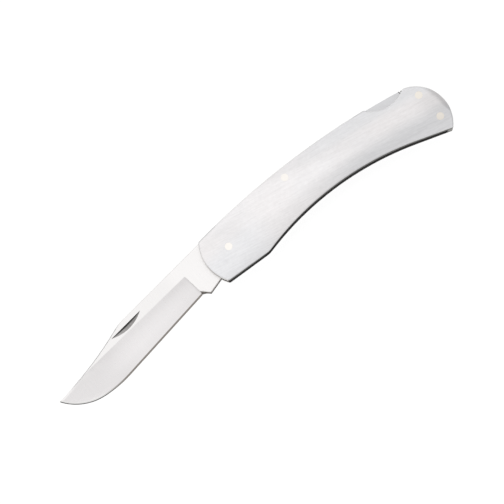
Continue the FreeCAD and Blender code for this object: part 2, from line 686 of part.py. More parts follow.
def hollow_grind(side):
    """Everything the hollow grind takes off one face, from the grind line to the edge."""
    half, thin = s.blade_thickness / 2, s.edge_thickness / 2
    clip_centre = arc_centre(point(TIP), point((CLIP_X, "spine_top")), s.clip_radius)
    run_out_x = s.grind_end - s.blade_reach
    run_out_y = clip_centre.y - sqrt(s.clip_radius ** 2 - (run_out_x - clip_centre.x) ** 2)
    line_start = Vector(-s.ricasso_length, s.grind_above, 0)
    line_end = Vector(run_out_x, run_out_y + s.grind_overrun, 0)
    stations = edge_stations(GRIND_STATIONS)
    last = len(stations) - 1
    rows = []
    for share in GRIND_SHARES:
        keep = 1 - share
        height = thin + (half - thin) * keep * (1 - s.grind_hollow * (1 - keep))
        row = []
        for i, (place, outward) in enumerate(stations):
            line = line_start + (line_end - line_start) * (i / last)
            spot = line + (place + outward * s.grind_overrun - line) * share
            row.append(Vector(spot.x, spot.y, side * height))
        rows.append(row)
    return grinding_tool(rows, side)


def edge_bevel(side):
    """What the sharpening bevel takes off one face."""
    lip = s.bevel_flat / 2
    slope = (s.edge_thickness / 2 - lip) / s.bevel_width
    outermost = -lip / (2 * slope)
    stations = edge_stations(BEVEL_STATIONS)
    rows = []
    for inward in (2 * s.bevel_width, s.bevel_width / 2, outermost):
        lift = Vector(0, 0, side * (lip + slope * inward))
        rows.append([place - outward * inward + lift for place, outward in stations])
    return grinding_tool(rows, side)


def choil_slope(side):
    """What the sloping wall of the choil takes off one face, from the plunge to the kick."""
    top = Vector(s.choil_start - s.ricasso_length, -s.choil_top, 0)
    low = Vector(-s.kick_x, s.choil_lip - s.kick_below, 0)
    face, above, reach = s.blade_thickness / 2, s.grind_overrun, s.kick_below
    corners = [
        top + Vector(0, above / s.choil_fall, side * (face + above)),
        top + Vector(0, -reach, side * (face + above)),
        top + Vector(0, -reach, side * (face - reach * s.choil_fall)),
    ]
    section = Part.Face(Part.makePolygon([*corners, corners[0]]))
    return section.extrude((low - top) * 2)


def make_blade():
    base = make_blade_blank()
    for name, tool in (("choil_blade", choil_slope), ("ground_blade", hollow_grind), ("blade", edge_bevel)):
        wheel = doc.addObject("Part::Feature", f"{name}_tool")
        wheel.Shape = Part.makeCompound([tool(1), tool(-1)])
        cut = doc.addObject("Part::Cut", name)
        cut.Base, cut.Tool = base, wheel
        cut.Label = name
        base = cut
    return base


pieces = [
    make_blade(),
    make_lock_bar(),
    make_leaf(),
    make_scale("front_scale", 1),
    make_scale("rear_scale", -1),
    make_spacer(),
    *(make_pin(label, x, y) for label, (x, y) in PINS.items()),
    make_washer("front_washer", 1),
    make_washer("rear_washer", -1),
]
doc.recompute()

# The knife is set down on its rear scale, with the middle of its footprint over the origin.
low_y = next(piece for piece in pieces if piece.Label == "butt_spacer").Shape.BoundBox.YMin
half_thickness = number(f"{SLOT} / 2 + scale_thickness")
set_down = Vector((s.blade_reach - s.butt_end) / 2, -(s.spine_top + low_y) / 2, half_thickness)
for piece in pieces:
    piece.Placement = Placement(set_down, Rotation())
doc.recompute()

for item in doc.Objects:
    if "Invalid" in item.State or "Error" in item.State:
        raise RuntimeError(f"{item.Name} failed: {item.State}")
os.makedirs("parts", exist_ok=True)
for piece in pieces:
    if piece.Shape.isNull() or not piece.Shape.isValid() or len(piece.Shape.Solids) != 1:
        raise RuntimeError(f"{piece.Label} is not one sound solid")
for piece in pieces:
    piece.Shape.exportStep(f"parts/{piece.Label}.step")
    print(piece.Label, round(piece.Shape.Volume, 2), "mm3")
seat_x = f"({SPACER_FRONT} + leaf_seat / 2)"
seat_y = f"({LEAF_MOUTH_Y} + {LEAF_SLOPE} * leaf_seat / 2 - {LEAF_STRETCH} * leaf_thickness / 2)"
for label, (x, y) in (*PINS.items(), ("middle of the leaf's seat", (seat_x, seat_y))):
    print(label, "at", round(number(x) + set_down.x, 4), round(number(y) + set_down.y, 4), "mm")
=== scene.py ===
import json
import math

import bpy
from mathutils import Matrix, Vector


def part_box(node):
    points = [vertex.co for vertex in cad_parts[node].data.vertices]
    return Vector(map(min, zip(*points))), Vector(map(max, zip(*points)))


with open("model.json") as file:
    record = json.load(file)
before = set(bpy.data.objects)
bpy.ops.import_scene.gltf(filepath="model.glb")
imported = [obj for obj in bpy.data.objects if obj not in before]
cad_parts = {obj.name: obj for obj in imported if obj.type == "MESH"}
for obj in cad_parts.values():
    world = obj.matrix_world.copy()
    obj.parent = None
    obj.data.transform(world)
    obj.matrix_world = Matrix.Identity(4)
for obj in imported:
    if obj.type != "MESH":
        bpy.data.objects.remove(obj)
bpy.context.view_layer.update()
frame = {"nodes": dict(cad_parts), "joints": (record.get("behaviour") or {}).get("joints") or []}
scene = bpy.context.scene
nodes = frame["nodes"]
mm = 0.001


def jointPlace(name):
    return Vector(next(j["pos_m"] for j in frame["joints"] if j["name"] == name))


pivot = jointPlace("blade_pivot")
print("frame loaded:", len(nodes), "nodes, pivot at", [round(v / mm, 3) for v in pivot], "mm")


# small helper for building node trees
class Tree:
    def __init__(self, tree):
        self.tree = tree

    def add(self, kind, **settings):
        node = self.tree.nodes.new(kind)
        node.location = (len(self.tree.nodes) * 180, 0)
        for name, value in settings.items():
            setattr(node, name, value)
        return node

    def join(self, source, target):
        self.tree.links.new(source, target)

    def feed(self, socket, value):
        if isinstance(value, bpy.types.NodeSocket):
            self.join(value, socket)
        else:
            socket.default_value = value

    def place(self):
        return self.add("ShaderNodeTexCoord").outputs["Object"]

    def parts(self, vector):
        node = self.add("ShaderNodeSeparateXYZ")
        self.join(vector, node.inputs[0])
        return node.outputs

    def math(self, operation, first, second=None):
        node = self.add("ShaderNodeMath", operation=operation)
        self.feed(node.inputs[0], first)
        if second is not None:
            self.feed(node.inputs[1], second)
        return node.outputs[0]

    def product(self, first, *others):
        for other in others:
            first = self.math("MULTIPLY", first, other)
        return first

    def vector(self, operation, first, second=None):
        node = self.add("ShaderNodeVectorMath", operation=operation)
        self.feed(node.inputs[0], first)
        if second is not None:
            self.feed(node.inputs[1], second)
        return node.outputs["Value" if operation == "LENGTH" else "Vector"]

    def fromPivot(self):
        return self.parts(self.vector("SUBTRACT", self.place(), pivot))

    def flatAway(self, centre):
        away = self.vector("SUBTRACT", self.place(), centre)
        return self.vector("LENGTH", self.vector("MULTIPLY", away, (1.0, 1.0, 0.0)))

    def noise(self, place, scale, detail, roughness=0.5):
        node = self.add("ShaderNodeTexNoise")
        self.join(place, node.inputs["Vector"])
        node.inputs["Scale"].default_value = scale
        node.inputs["Detail"].default_value = detail
        node.inputs["Roughness"].default_value = roughness
        return node.outputs["Fac"]

    def spread(self, value, low, high, toLow=0.0, toHigh=1.0, smooth=True):
        node = self.add("ShaderNodeMapRange", interpolation_type="SMOOTHSTEP" if smooth else "LINEAR")
        self.feed(node.inputs["Value"], value)
        for name, number in zip(("From Min", "From Max", "To Min", "To Max"), (low, high, toLow, toHigh)):
            self.feed(node.inputs[name], number)
        return node.outputs["Result"]

    def mix(self, share, first, second):
        node = self.add("ShaderNodeMix", data_type="RGBA")
        self.feed(node.inputs["Factor"], share)
        for socket, value in ((node.inputs[6], first), (node.inputs[7], second)):
            self.feed(socket, value if isinstance(value, bpy.types.NodeSocket) else (*value, 1.0))
        return node.outputs[2]

    def dim(self, colour, share):
        return self.vector("MULTIPLY", colour, share)

    def group(self, shared, **values):
        node = self.add("ShaderNodeGroup", node_tree=shared)
        for name, value in values.items():
            self.feed(node.inputs[name], value)
        return node.outputs


def newGroup(name, inputs, outputs):
    shared = bpy.data.node_groups.new(name, "ShaderNodeTree")
    for label, value in inputs:
        socket = shared.interface.new_socket(label, in_out="INPUT", socket_type="NodeSocketFloat")
        socket.default_value = value
    for label in outputs:
        shared.interface.new_socket(label, in_out="OUTPUT", socket_type="NodeSocketFloat")
    tree = Tree(shared)
    return tree, tree.add("NodeGroupInput").outputs, tree.add("NodeGroupOutput").inputs


# brush lines: long fine scratches that lie one way over a face
brushLook = {
    "fineTimes": 3.7, "fineShare": 0.4, "scratchTimes": 1.9, "scratch": (0.64, 0.74), "scratchDepth": 0.2,
    "offsets": (0.0, 3.1, 7.7), "detail": 2.0, "grit": 0.6, "contrast": (0.32, 0.68),
}


def makeBrushLines():
    look = brushLook
    tree, given, made = newGroup(
        "brushLines", (("Angle", 0.0), ("Along", 60.0), ("Across", 2500.0), ("Sideways", 1.0)),
        ("Streak", "Scratch", "Height"))
    turned = tree.add("ShaderNodeVectorRotate", rotation_type="Z_AXIS")
    tree.join(tree.place(), turned.inputs["Vector"])
    tree.join(tree.product(given["Angle"], -1.0), turned.inputs["Angle"])
    layers = []
    for times, offset in zip((1.0, look["fineTimes"], look["scratchTimes"]), look["offsets"]):
        stretch = tree.add("ShaderNodeCombineXYZ")
        across = tree.product(given["Across"], times)
        tree.join(tree.product(given["Along"], times), stretch.inputs["X"])
        tree.join(tree.product(across, given["Sideways"]), stretch.inputs["Y"])
        tree.join(across, stretch.inputs["Z"])
        spot = tree.vector("MULTIPLY", turned.outputs[0], stretch.outputs[0])
        spot = tree.vector("ADD", spot, (offset, offset, offset))
        layers.append(tree.noise(spot, 1.0, look["detail"], look["grit"]))
    broad = tree.product(layers[0], 1.0 - look["fineShare"])
    fine = tree.product(layers[1], look["fineShare"])
    total = tree.math("ADD", broad, fine)
    scratch = tree.spread(layers[2], *look["scratch"])
    tree.join(tree.spread(total, *look["contrast"], -1.0, 1.0, smooth=False), made["Streak"])
    tree.join(scratch, made["Scratch"])
    tree.join(tree.math("SUBTRACT", total, tree.product(scratch, look["scratchDepth"])), made["Height"])
    return tree.tree


# soft patches: broad cool and warm clouds, and the finer smudges of handling
patchLook = {
    "clouds": (("Cool", 0.0, 1.0), ("Warm", 0.37, 1.0), ("Smudge", 0.81, 2.6)),  # name, shift, fineness
    "detail": 3.0, "contrast": (0.42, 0.7),
}


def makeSoftPatches():
    look = patchLook
    tree, given, made = newGroup("softPatches", (("Size", 60.0),), ("Cool", "Warm", "Smudge"))
    for label, shift, fineness in look["clouds"]:
        sized = tree.add("ShaderNodeVectorMath", operation="SCALE")
        tree.join(tree.vector("ADD", tree.place(), (shift, shift, shift)), sized.inputs[0])
        tree.join(tree.product(given["Size"], fineness), sized.inputs["Scale"])
        cloud = tree.noise(sized.outputs[0], 1.0, look["detail"])
        tree.join(tree.spread(cloud, *look["contrast"]), made[label])
    return tree.tree


# facing: how a face stands in the piece's own frame, and its broken edges
facingLook = {
    "steep": (0.85, 0.2), "down": (-0.5, -0.85),
    "over": (0.25, 0.5), "rim": (0.02, 0.12), "under": (-0.06, -0.28),
    "edgeSamples": 6, "leastAside": 0.001,
}


def makeFacing(name, source):
    look = facingLook
    tree, given, made = newGroup(
        name, (("Edge", 0.2 * mm),), ("Steep", "Down", "Tilt", "Over", "Rim", "Under"))

    def inOwn(world):
        own = tree.add("ShaderNodeVectorTransform", vector_type="NORMAL",
                       convert_from="WORLD", convert_to="OBJECT")
        tree.join(world, own.inputs[0])
        return own.outputs[0]

    own = inOwn(tree.add("ShaderNodeNewGeometry").outputs[source])
    parts = tree.parts(own)
    level = tree.math("ABSOLUTE", parts["Z"])
    aside = tree.vector("LENGTH", tree.vector("MULTIPLY", own, (1.0, 1.0, 0.0)))
    turn = tree.math("DIVIDE", parts["Y"], tree.math("MAXIMUM", aside, look["leastAside"]))
    rounded = tree.add("ShaderNodeBevel", samples=look["edgeSamples"])
    tree.join(given["Edge"], rounded.inputs["Radius"])
    lean = tree.parts(inOwn(rounded.outputs[0]))["Y"]
    tree.join(tree.math("SUBTRACT", 1.0, level), made["Tilt"])
    for label, value in (("Steep", level), ("Down", turn), ("Over", lean), ("Rim", lean), ("Under", lean)):
        tree.join(tree.spread(value, *look[label.lower()]), made[label])
    return tree.tree


brushLines = makeBrushLines()
softPatches = makeSoftPatches()
facing = makeFacing("facing", "Normal")
exactFacing = makeFacing("exactFacing", "True Normal")
print("shared finishes built")


def newMaterial(name, colour, roughness):
    material = bpy.data.materials.new(name)
    material.use_nodes = True
    shader = material.node_tree.nodes["Principled BSDF"]
    shader.inputs["Base Color"].default_value = (*colour, 1.0)
    shader.inputs["Roughness"].default_value = roughness
    shader.inputs["Metallic"].default_value = 1.0
    material.diffuse_color = (*colour, 1.0)
    return material, Tree(material.node_tree), shader


def brushed(tree, look):
    return tree.group(brushLines, Angle=look["brushAngle"], Along=look["along"], Across=look["across"])


def brushedRough(tree, lines, look):
    return tree.spread(lines["Streak"], -1.0, 1.0, *look["rough"], smooth=False)


def streaked(tree, tint, lines, look):
    change = tree.product(lines["Streak"], look["streak"])
    change = tree.math("SUBTRACT", change, tree.product(lines["Scratch"], look["scratch"]))
    return tree.dim(tint, tree.math("ADD", change, 1.0))


def addBump(tree, shader, lines, look):
    bump = tree.add("ShaderNodeBump")
    bump.inputs["Strength"].default_value = look["bump"]
    bump.inputs["Distance"].default_value = look["bumpDepth"]
    tree.join(lines["Height"], bump.inputs["Height"])
    tree.join(bump.outputs[0], shader.inputs["Normal"])


def addShadeMatte(tree, shader, dark):
    tree.join(tree.math("SUBTRACT", 1.0, dark), shader.inputs["Metallic"])
    shader.inputs["Specular IOR Level"].default_value = 0.0  # the walls and gaps painted dark as shade get no shine


# walls: the narrow sides, ground lengthwise with long lines that follow their curves
wallLook = {"along": 45.0, "across": 2600.0, "streak": 0.2, "scratch": 0.16}


def groundWall(tree, tint):
    look = wallLook
    lines = tree.group(brushLines, Along=look["along"], Across=look["across"], Sideways=0.0)
    return streaked(tree, tint, lines, look)


# handle: satin steel brushed slantwise, crowned, with painted shade and highlight on its crown and its edge
# walls painted dark as shade all round
handleLook = {
    "steel": (0.871, 0.85, 0.852), "cool": (0.845, 0.842, 0.856), "warm": (0.881, 0.856, 0.857),
    "coolShare": 0.35, "coolFront": (20.0 * mm, 6.0 * mm), "coolDepth": (4.0 * mm, 11.0 * mm),
    "patchSize": 60.0, "fleckScale": 800.0, "fleckDetail": 2.0, "fleckRange": (0.3, 0.7), "fleck": 0.02,
    "brushAngle": math.radians(-17.5), "along": 140.0, "across": 2200.0, "streak": 0.066, "scratch": 0.04,
    "rough": (0.3, 0.38), "smudgeRough": 0.04, "wallRough": 0.15, "bump": 0.1, "bumpDepth": 0.008 * mm,
    "spineApex": -2.0 * mm, "spineTop": 8.95 * mm, "spineRadius": 300.0 * mm,
    # painted shade and highlight over the crown, set by depth below the spine and distance along the handle
    "rear": (22.0 * mm, 60.0 * mm), "upper": (7.0 * mm, 3.0 * mm), "upperDim": 0.03,
    "lower": (9.0 * mm, 15.5 * mm), "lowerDim": 0.155, "rim": (16.0 * mm, 19.5 * mm), "rimLift": 0.09,
    "butt": (80.0 * mm, 91.0 * mm), "buttTop": (4.0 * mm, 9.0 * mm), "buttLow": (16.0 * mm, 12.0 * mm),
    "buttDim": 0.1,
    "frontX": (22.0 * mm, 8.0 * mm), "frontTop": (3.5 * mm, 1.0 * mm), "frontLow": (12.0 * mm, 16.0 * mm),
    "frontLift": 0.035,
    "bright": 0.065, "brightX": 26.0 * mm, "brightSlope": 0.3,
    "brightFade": (-1.5 * mm, 3.0 * mm), "brightLow": (13.5 * mm, 9.0 * mm),
    "brightFront": (2.0 * mm, 22.0 * mm), "brightRear": (75.0 * mm, 45.0 * mm),
    "edge": 0.5 * mm, "shade": (0.6, 0.6, 0.61), "shadeX": (4.0 * mm, 0.0), "shadeY": 5.0 * mm,
    "runOut": (63.0 * mm, 66.0 * mm), "runOutEnd": (71.0 * mm, 69.5 * mm),
    "wall": (0.6, 0.58, 0.56), "under": (0.135, 0.132, 0.129), "underFront": (0.27, 0.263, 0.256),
    "underDeep": (0.12, 0.117, 0.113), "deepFront": (2.0 * mm, 10.0 * mm), "deepRear": (45.0 * mm, 12.0 * mm),
    "corner": (0.13, 0.124, 0.112), "cornerX": (85.9 * mm, 86.4 * mm),
    "inside": (0.04, 0.039, 0.038), "insideHalf": 1.5 * mm,
}


def handleDepth(tree, look):
    centre = (pivot.x + look["spineApex"], pivot.y + look["spineTop"] - look["spineRadius"], 0.0)
    return tree.math("SUBTRACT", look["spineRadius"], tree.flatAway(centre))


# painted shade and highlight on the crowned face: upper and lower bands and the butt darkened, front edges and
# lower rim lifted, a broad painted highlight midway, and a cool tint where shaded
def handleTone(tree, look, along):
    depth = handleDepth(tree, look)
    rear = tree.spread(along, *look["rear"])
    lower = tree.product(rear, tree.spread(depth, *look["lower"]))
    rim = tree.product(rear, tree.spread(depth, *look["rim"], 0.0, look["rimLift"]))
    upper = tree.product(rear, tree.spread(depth, *look["upper"], 0.0, look["upperDim"]))
    butt = tree.spread(along, *look["butt"], 0.0, look["buttDim"])
    for side in ("buttTop", "buttLow"):
        butt = tree.product(butt, tree.spread(depth, *look[side]))
    edges = tree.math("ADD", tree.spread(depth, *look["frontTop"]), tree.spread(depth, *look["frontLow"]))
    edges = tree.product(edges, tree.spread(along, *look["frontX"], 0.0, look["frontLift"]))
    fall = tree.math("SUBTRACT", tree.product(lower, look["lowerDim"]), rim)
    fall = tree.math("ADD", fall, tree.math("ADD", upper, butt))
    fall = tree.math("SUBTRACT", fall, edges)
    slant = tree.product(tree.math("SUBTRACT", along, look["brightX"]), look["brightSlope"])
    bright = tree.spread(tree.math("SUBTRACT", depth, slant), *look["brightFade"], 0.0, look["bright"])
    for value, end in ((depth, "brightLow"), (along, "brightFront"), (along, "brightRear")):
        bright = tree.product(bright, tree.spread(value, *look[end]))
    front = tree.product(tree.spread(along, *look["coolFront"]), tree.spread(depth, *look["coolDepth"]))
    cool = tree.math("MAXIMUM", lower, front)
    cool = tree.math("MAXIMUM", cool, tree.math("DIVIDE", upper, look["upperDim"]))
    return cool, tree.math("ADD", tree.math("SUBTRACT", 1.0, fall), bright)


def handleFace(tree, look, own, lines, patches, stance):
    cool, tone = handleTone(tree, look, own["X"])
    cool = tree.math("MAXIMUM", cool, tree.product(patches["Cool"], look["coolShare"]))
    tint = tree.mix(patches["Warm"], look["steel"], look["warm"])
    tint = tree.dim(tree.mix(cool, tint, look["cool"]), tone)
    fleck = tree.noise(tree.place(), look["fleckScale"], look["fleckDetail"])
    fleck = tree.spread(fleck, *look["fleckRange"], 1.0 - look["fleck"], 1.0 + look["fleck"], smooth=False)
    tint = streaked(tree, tree.dim(tint, fleck), lines, look)
    runOut = tree.product(*(tree.spread(own["X"], *look[end]) for end in ("runOut", "runOutEnd")))
    shade = tree.math("GREATER_THAN", own["Y"], look["shadeY"])
    shade = tree.product(shade, tree.spread(own["X"], *look["shadeX"]))
    shade = tree.product(stance["Over"], tree.math("MAXIMUM", shade, runOut))
    return tree.mix(shade, tint, look["shade"])  # painted shade: grey line along the spine's edge at the front and at the scallop's run-out


# painted shade: the edge walls are painted mid grey, and near black and matte where they face the edge side,
# darkest along the front scale's front stretch, eased to brown grey at the butt corner
def handleWall(tree, look, own, corner, stance):
    deep = tree.product(*(tree.spread(own["X"], *look[end]) for end in ("deepFront", "deepRear")))
    under = tree.mix(deep, look["underFront"], look["underDeep"])
    under = tree.mix(tree.math("GREATER_THAN", own["Z"], 0.0), look["under"], under)  # rear scale, front scale
    under = tree.mix(corner, under, look["corner"])
    return groundWall(tree, tree.mix(stance["Down"], look["wall"], under))


def makeHandleSteel():
    look = handleLook
    material, tree, shader = newMaterial("handleSteel", look["steel"], look["rough"][0])
    lines = brushed(tree, look)
    patches = tree.group(softPatches, Size=look["patchSize"])
    stance = tree.group(facing, Edge=look["edge"])
    own = tree.fromPivot()
    corner = tree.spread(own["X"], *look["cornerX"])
    # painted shade: the slot between the scales is painted near black and matte
    inside = tree.math("LESS_THAN", tree.math("ABSOLUTE", own["Z"]), look["insideHalf"])
    face = handleFace(tree, look, own, lines, patches, stance)
    tint = tree.mix(stance["Steep"], face, handleWall(tree, look, own, corner, stance))
    tree.join(tree.mix(inside, tint, look["inside"]), shader.inputs["Base Color"])
    dark = tree.product(stance["Steep"], stance["Down"], tree.math("SUBTRACT", 1.0, corner))
    addShadeMatte(tree, shader, tree.math("MAXIMUM", inside, dark))
    rough = brushedRough(tree, lines, look)
    rough = tree.math("ADD", rough, tree.product(patches["Smudge"], look["smudgeRough"]))
    rough = tree.math("ADD", rough, tree.product(stance["Steep"], look["wallRough"]))
    tree.join(rough, shader.inputs["Roughness"])
    addBump(tree, shader, lines, look)
    return material


# blade: bright flats, a greyer hollow grind and edges painted dark as shade, all with fine cross grain, with
# painted shade and highlight on the grind and at the tip
bladeLook = {
    "flat": (0.911, 0.894, 0.889), "flatX": (-20.0 * mm, -28.0 * mm), "flatDim": 0.957,
    "ground": (0.823, 0.802, 0.804), "groundTilt": (0.0004, 0.0012),
    "groundX": (-46.0 * mm, -70.0 * mm), "groundDim": (1.045, 0.925),
    "lowGround": (0.6 * mm, 0.3 * mm), "lowDim": (0.945, 0.99),
    "topGround": (0.75 * mm, 1.15 * mm), "topDim": (0.965, 1.07), "topX": (-58.0 * mm, -66.0 * mm),
    "heelX": (-34.0 * mm, -20.0 * mm), "heelDim": 0.975, "curl": (0.008, 0.05), "curlLift": 1.2,
    "plungeX": -18.8 * mm, "plungeFade": 1.0 * mm, "plungeDim": 0.08,
    "brushAngle": math.radians(88.0), "along": 60.0, "across": 2200.0, "streak": 0.034, "scratch": 0.006,
    "rough": (0.26, 0.33), "bump": 0.08, "bumpDepth": 0.005 * mm,
    "edge": 0.8 * mm, "rimEdge": 1.4 * mm, "rim": (0.965, 0.95, 0.945), "rimX": (-64.5 * mm, -70.0 * mm),
    "bevel": (0.34, 0.31, 0.285), "bevelTilt": (0.02, 0.04), "bevelHeight": (0.32 * mm, 0.27 * mm),
    "tip": (-58.0 * mm, -72.0 * mm), "tipHeight": (0.11 * mm, 0.17 * mm),
    "tipEdge": (0.05, 0.047, 0.045), "tipBevel": (0.92, 0.91, 0.9),
    "wall": (0.2, 0.18, 0.165), "wallTilt": (0.25, 0.5), "choilTilt": (0.1, 0.15),
    "spine": (0.86, 0.845, 0.84), "back": (0.3, 0.294, 0.294),
    "backX": (-46.5 * mm, -50.5 * mm), "tipX": (-79.0 * mm, -71.0 * mm),
    "nickX": -46.1 * mm, "nickHalf": 7.6 * mm, "nickLow": 4.6 * mm, "nickHigh": 6.95 * mm, "nickTilt": 0.02,
    "nickTop": 6.75 * mm, "nickShade": 0.62 * mm, "nickFade": 0.12 * mm,
    "nickWall": (0.12, 0.117, 0.113), "nickFloor": (0.285, 0.274, 0.268), "nickRim": (0.46, 0.445, 0.44),
    "nickGrain": {"streak": 0.2, "scratch": 0.1},
}


# painted shade and highlight over the blade: the flats dim away from the plunge; the hollow grind dims by the
# plunge line, by the heel and towards the tip, its lower strip darker, its upper strip darker but lighter near
# the tip, and its steeper parts lighter
def bladeTone(tree, look, own, ground, height, tilt):
    flat = tree.spread(own["X"], *look["flatX"], 1.0, look["flatDim"])
    plunge = (look["plungeX"] - look["plungeFade"], look["plungeX"])
    low, top = (tree.spread(own["X"], *look["topX"], *look[end]) for end in ("lowDim", "topDim"))
    tone = tree.product(
        tree.spread(own["X"], *plunge, 1.0, 1.0 - look["plungeDim"]),
        tree.spread(own["X"], *look["groundX"], *look["groundDim"]),
        tree.spread(height, *look["lowGround"], 1.0, low),
        tree.spread(height, *look["topGround"], 1.0, top),
        tree.spread(own["X"], *look["heelX"], 1.0, look["heelDim"]),
        tree.spread(tilt, *look["curl"], 1.0, look["curlLift"]))
    both = tree.add("ShaderNodeMix", data_type="FLOAT")
    for socket, value in zip(both.inputs[:1] + both.inputs[2:4], (ground, flat, tone)):
        tree.join(value, socket)
    return both.outputs[0]


# painted shade in the nick: near black along its upper wall, and its floor dark grey, lightening towards the
# tip end
def nickTint(tree, look, own, stance, lines):
    aside = tree.math("ABSOLUTE", tree.math("SUBTRACT", own["X"], look["nickX"]))
    nick = tree.product(
        tree.math("LESS_THAN", aside, look["nickHalf"]),
        tree.math("GREATER_THAN", own["Y"], look["nickLow"]),
        tree.math("LESS_THAN", own["Y"], look["nickHigh"]),
        tree.math("GREATER_THAN", stance["Tilt"], look["nickTilt"]))
    rise = tree.spread(own["X"], look["nickX"] + look["nickHalf"], look["nickX"] - look["nickHalf"])
    floor = tree.mix(rise, look["nickFloor"], look["nickRim"])
    floor = streaked(tree, floor, lines, look["nickGrain"])
    bow = tree.product(aside, aside, look["nickShade"] / look["nickHalf"] ** 2)
    lower = tree.math("SUBTRACT", look["nickTop"] - look["nickShade"], own["Y"])
    shade = tree.spread(tree.math("ADD", lower, bow), look["nickFade"], -look["nickFade"])
    return nick, tree.mix(tree.math("MAXIMUM", stance["Down"], shade), floor, look["nickWall"])


def makeBladeSteel():
    look = bladeLook
    material, tree, shader = newMaterial("bladeSteel", look["flat"], look["rough"][0])
    lines = brushed(tree, look)
    stance = tree.group(exactFacing, Edge=look["edge"])
    own = tree.fromPivot()
    height = tree.math("ABSOLUTE", own["Z"])
    tilt = stance["Tilt"]
    ground = tree.spread(tilt, *look["groundTilt"])
    tone = bladeTone(tree, look, own, ground, height, tilt)
    tint = tree.dim(tree.mix(ground, look["flat"], look["ground"]), tone)
    tint = streaked(tree, tint, lines, look)
    # painted highlight: a pale line along the edges towards the tip
    rim = tree.math("MAXIMUM", tree.group(exactFacing, Edge=look["rimEdge"])["Rim"], stance["Under"])
    rim = tree.product(rim, tree.spread(own["X"], *look["rimX"]))
    tint = tree.mix(rim, tint, look["rim"])
    # painted reflection on the edge bevel: dark brown grey along the edge, and near the tip a painted shadow
    # line at the very edge under a painted highlight band
    bevel = tree.product(tree.spread(tilt, *look["bevelTilt"]), tree.spread(height, *look["bevelHeight"]))
    tipTint = tree.mix(tree.spread(height, *look["tipHeight"]), look["tipEdge"], look["tipBevel"])
    bevelTint = tree.mix(tree.spread(own["X"], *look["tip"]), look["bevel"], tipTint)
    tint = tree.mix(bevel, tint, bevelTint)
    # painted shade: the blade's steep walls, the choil and the tang's lower edge are painted dark and matte
    tang = tree.math("GREATER_THAN", own["X"], look["plungeX"])
    choil = tree.product(tang, tree.spread(tilt, *look["choilTilt"]))
    steep = tree.math("MAXIMUM", tree.spread(tilt, *look["wallTilt"]), choil)
    dark = tree.math("MAXIMUM", steep, tree.product(stance["Under"], tang))
    tint = tree.mix(dark, tint, groundWall(tree, look["wall"]))
    # painted shade: the back edge of the clip is painted dark, while the spine elsewhere keeps a plain steel
    # colour
    clip = tree.product(tree.spread(own["X"], *look["backX"]), tree.spread(own["X"], *look["tipX"]))
    back = groundWall(tree, tree.mix(clip, look["spine"], look["back"]))
    tint = tree.mix(stance["Over"], tint, back)
    nick, hollow = nickTint(tree, look, own, stance, lines)
    tree.join(tree.mix(nick, tint, hollow), shader.inputs["Base Color"])
    addShadeMatte(tree, shader, tree.product(dark, tree.math("SUBTRACT", 1.0, stance["Over"])))
    tree.join(brushedRough(tree, lines, look), shader.inputs["Roughness"])
    addBump(tree, shader, lines, look)
    return material


# lock bar, butt spacer and leaf: ground spring steel, a little bluer than the handle
springLook = {
    "steel": (0.738, 0.738, 0.752), "dull": (0.64, 0.64, 0.652), "smudge": 0.4, "patchSize": 90.0,
    "brushAngle": math.radians(70.0), "along": 130.0, "across": 4600.0, "streak": 0.025, "scratch": 0.02,
    "rough": (0.32, 0.42), "bump": 0.08, "bumpDepth": 0.006 * mm,
    "edge": 0.12 * mm, "back": (0.72, 0.725, 0.74), "wall": (0.03, 0.029, 0.028),
    "gapShadow": (0.02, 0.019, 0.018), "gapX": 84.2 * mm, "gapReach": (0.85 * mm, 0.6 * mm),
}
spacerShade = {"steel": (0.06, 0.06, 0.062), "dull": (0.045, 0.045, 0.046)}  # painted shade: near-black steel for the spacer, whose faces show only in the shaded gap between the scales


def makeSpringSteel(name, look):
    material, tree, shader = newMaterial(name, look["steel"], look["rough"][0])
    lines = brushed(tree, look)
    patches = tree.group(softPatches, Size=look["patchSize"])
    stance = tree.group(facing, Edge=look["edge"])
    tint = tree.mix(tree.product(patches["Smudge"], look["smudge"]), look["steel"], look["dull"])
    tint = streaked(tree, tint, lines, look)
    along = tree.fromPivot()["X"]
    # painted shade: the walls of the lock bar, spacer and leaf are painted near black and matte, except those
    # leaning towards the spine and at the butt corner
    corner = tree.spread(along, *handleLook["cornerX"])
    wall = tree.mix(corner, look["wall"], handleLook["corner"])
    wall = groundWall(tree, tree.mix(stance["Over"], wall, look["back"]))
    tint = tree.mix(stance["Steep"], tint, wall)
    gap = tree.math("ABSOLUTE", tree.math("SUBTRACT", along, look["gapX"]))
    gap = tree.spread(gap, *look["gapReach"])  # painted shadow in the gap behind the bar's tail
    tree.join(tree.mix(gap, tint, look["gapShadow"]), shader.inputs["Base Color"])
    bright = tree.math("MAXIMUM", corner, stance["Over"])
    dark = tree.product(stance["Steep"], tree.math("SUBTRACT", 1.0, bright))
    addShadeMatte(tree, shader, tree.math("MAXIMUM", dark, gap))
    tree.join(brushedRough(tree, lines, look), shader.inputs["Roughness"])
    addBump(tree, shader, lines, look)
    return material


# pins: pale nickel silver with faint turning rings, ground with the handle
pinLook = {
    # the upper and lower spacer pins are darker copies of the front pins' colour, as painted shade
    "front": (0.985, 0.947, 0.902), "upper": (0.935, 0.88, 0.805), "lower": (0.868, 0.816, 0.745),
    "ring": 0.35 * mm, "ringShare": 0.012, "rough": (0.28, 0.36), "bump": 0.06, "bumpDepth": 0.006 * mm,
    "brushAngle": handleLook["brushAngle"], "along": 100.0, "across": 3000.0, "streak": 0.01, "scratch": 0.01,
}


